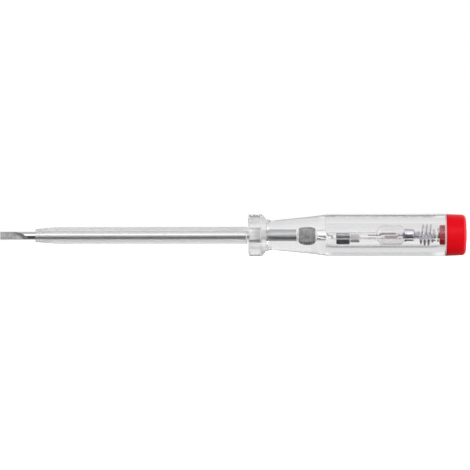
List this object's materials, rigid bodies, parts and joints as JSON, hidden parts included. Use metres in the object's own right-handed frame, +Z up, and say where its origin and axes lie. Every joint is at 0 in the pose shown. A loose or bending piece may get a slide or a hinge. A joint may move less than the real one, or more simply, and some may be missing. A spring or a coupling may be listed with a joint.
{
  "type": "voltage tester screwdriver",
  "caption": "Slim flat-blade screwdriver with an insulated shank and a clear waisted handle that holds a resistor, a glow lamp and a contact spring behind a red pull-off cap with a touch contact.",
  "frame": {"origin": "middle of the blade tip's end face, on the tool's axis", "axes": "+X along the tool from the blade tip to the end cap, +Z up, square to two flats of the hexagonal collar; the ground faces of the blade look along +Y and -Y"},
  "size_m": [0.19, 0.0188, 0.0174],
  "materials": {
    "blade_steel": "bright drawn steel with a ground tip",
    "clear_sleeve": "clear soft plastic, glossy",
    "clear_handle": "clear moulded acetate, glossy",
    "red_cap": "moulded, satin gloss",
    "nickel_plate": "nickel plated brass",
    "spring_wire": "bright spring wire",
    "tinned_wire": "tinned wire",
    "resistor_black": "black lacquer",
    "lamp_glass": "clear blown glass",
    "electrode": "coated electrode wire",
    "solder": "solder"
  },
  "bodies": {
    "handle": {"blade": "blade_steel", "insulating_sleeve": "clear_sleeve", "handle": "clear_handle"},
    "cap": {"end_cap": "red_cap", "touch_contact": "nickel_plate", "contact_spring": "spring_wire"},
    "stack": {"resistor_front_lead": "tinned_wire", "resistor_body": "resistor_black", "resistor_end_cap": "nickel_plate", "joining_lead": "tinned_wire", "lamp_glass": "lamp_glass", "lamp_front_lead": "tinned_wire", "lamp_front_electrode": "electrode", "lamp_rear_electrode": "electrode", "lamp_support_wire": "tinned_wire", "lamp_stem": "lamp_glass", "lamp_rear_lead": "tinned_wire", "lamp_base_cap": "nickel_plate", "lamp_solder_tip": "solder"}
  },
  "joints": [
    {"name": "cap_pull", "type": "slide", "parent": "handle", "child": "cap", "axis": [1, 0, 0], "range_m": [0, 0.024]},
    {"name": "stack_float", "type": "slide", "parent": "handle", "child": "stack", "axis": [1, 0, 0], "range_m": [0, 0.003], "stiffness_N_per_m": 250, "deforming": ["contact_spring"]}
  ]
}
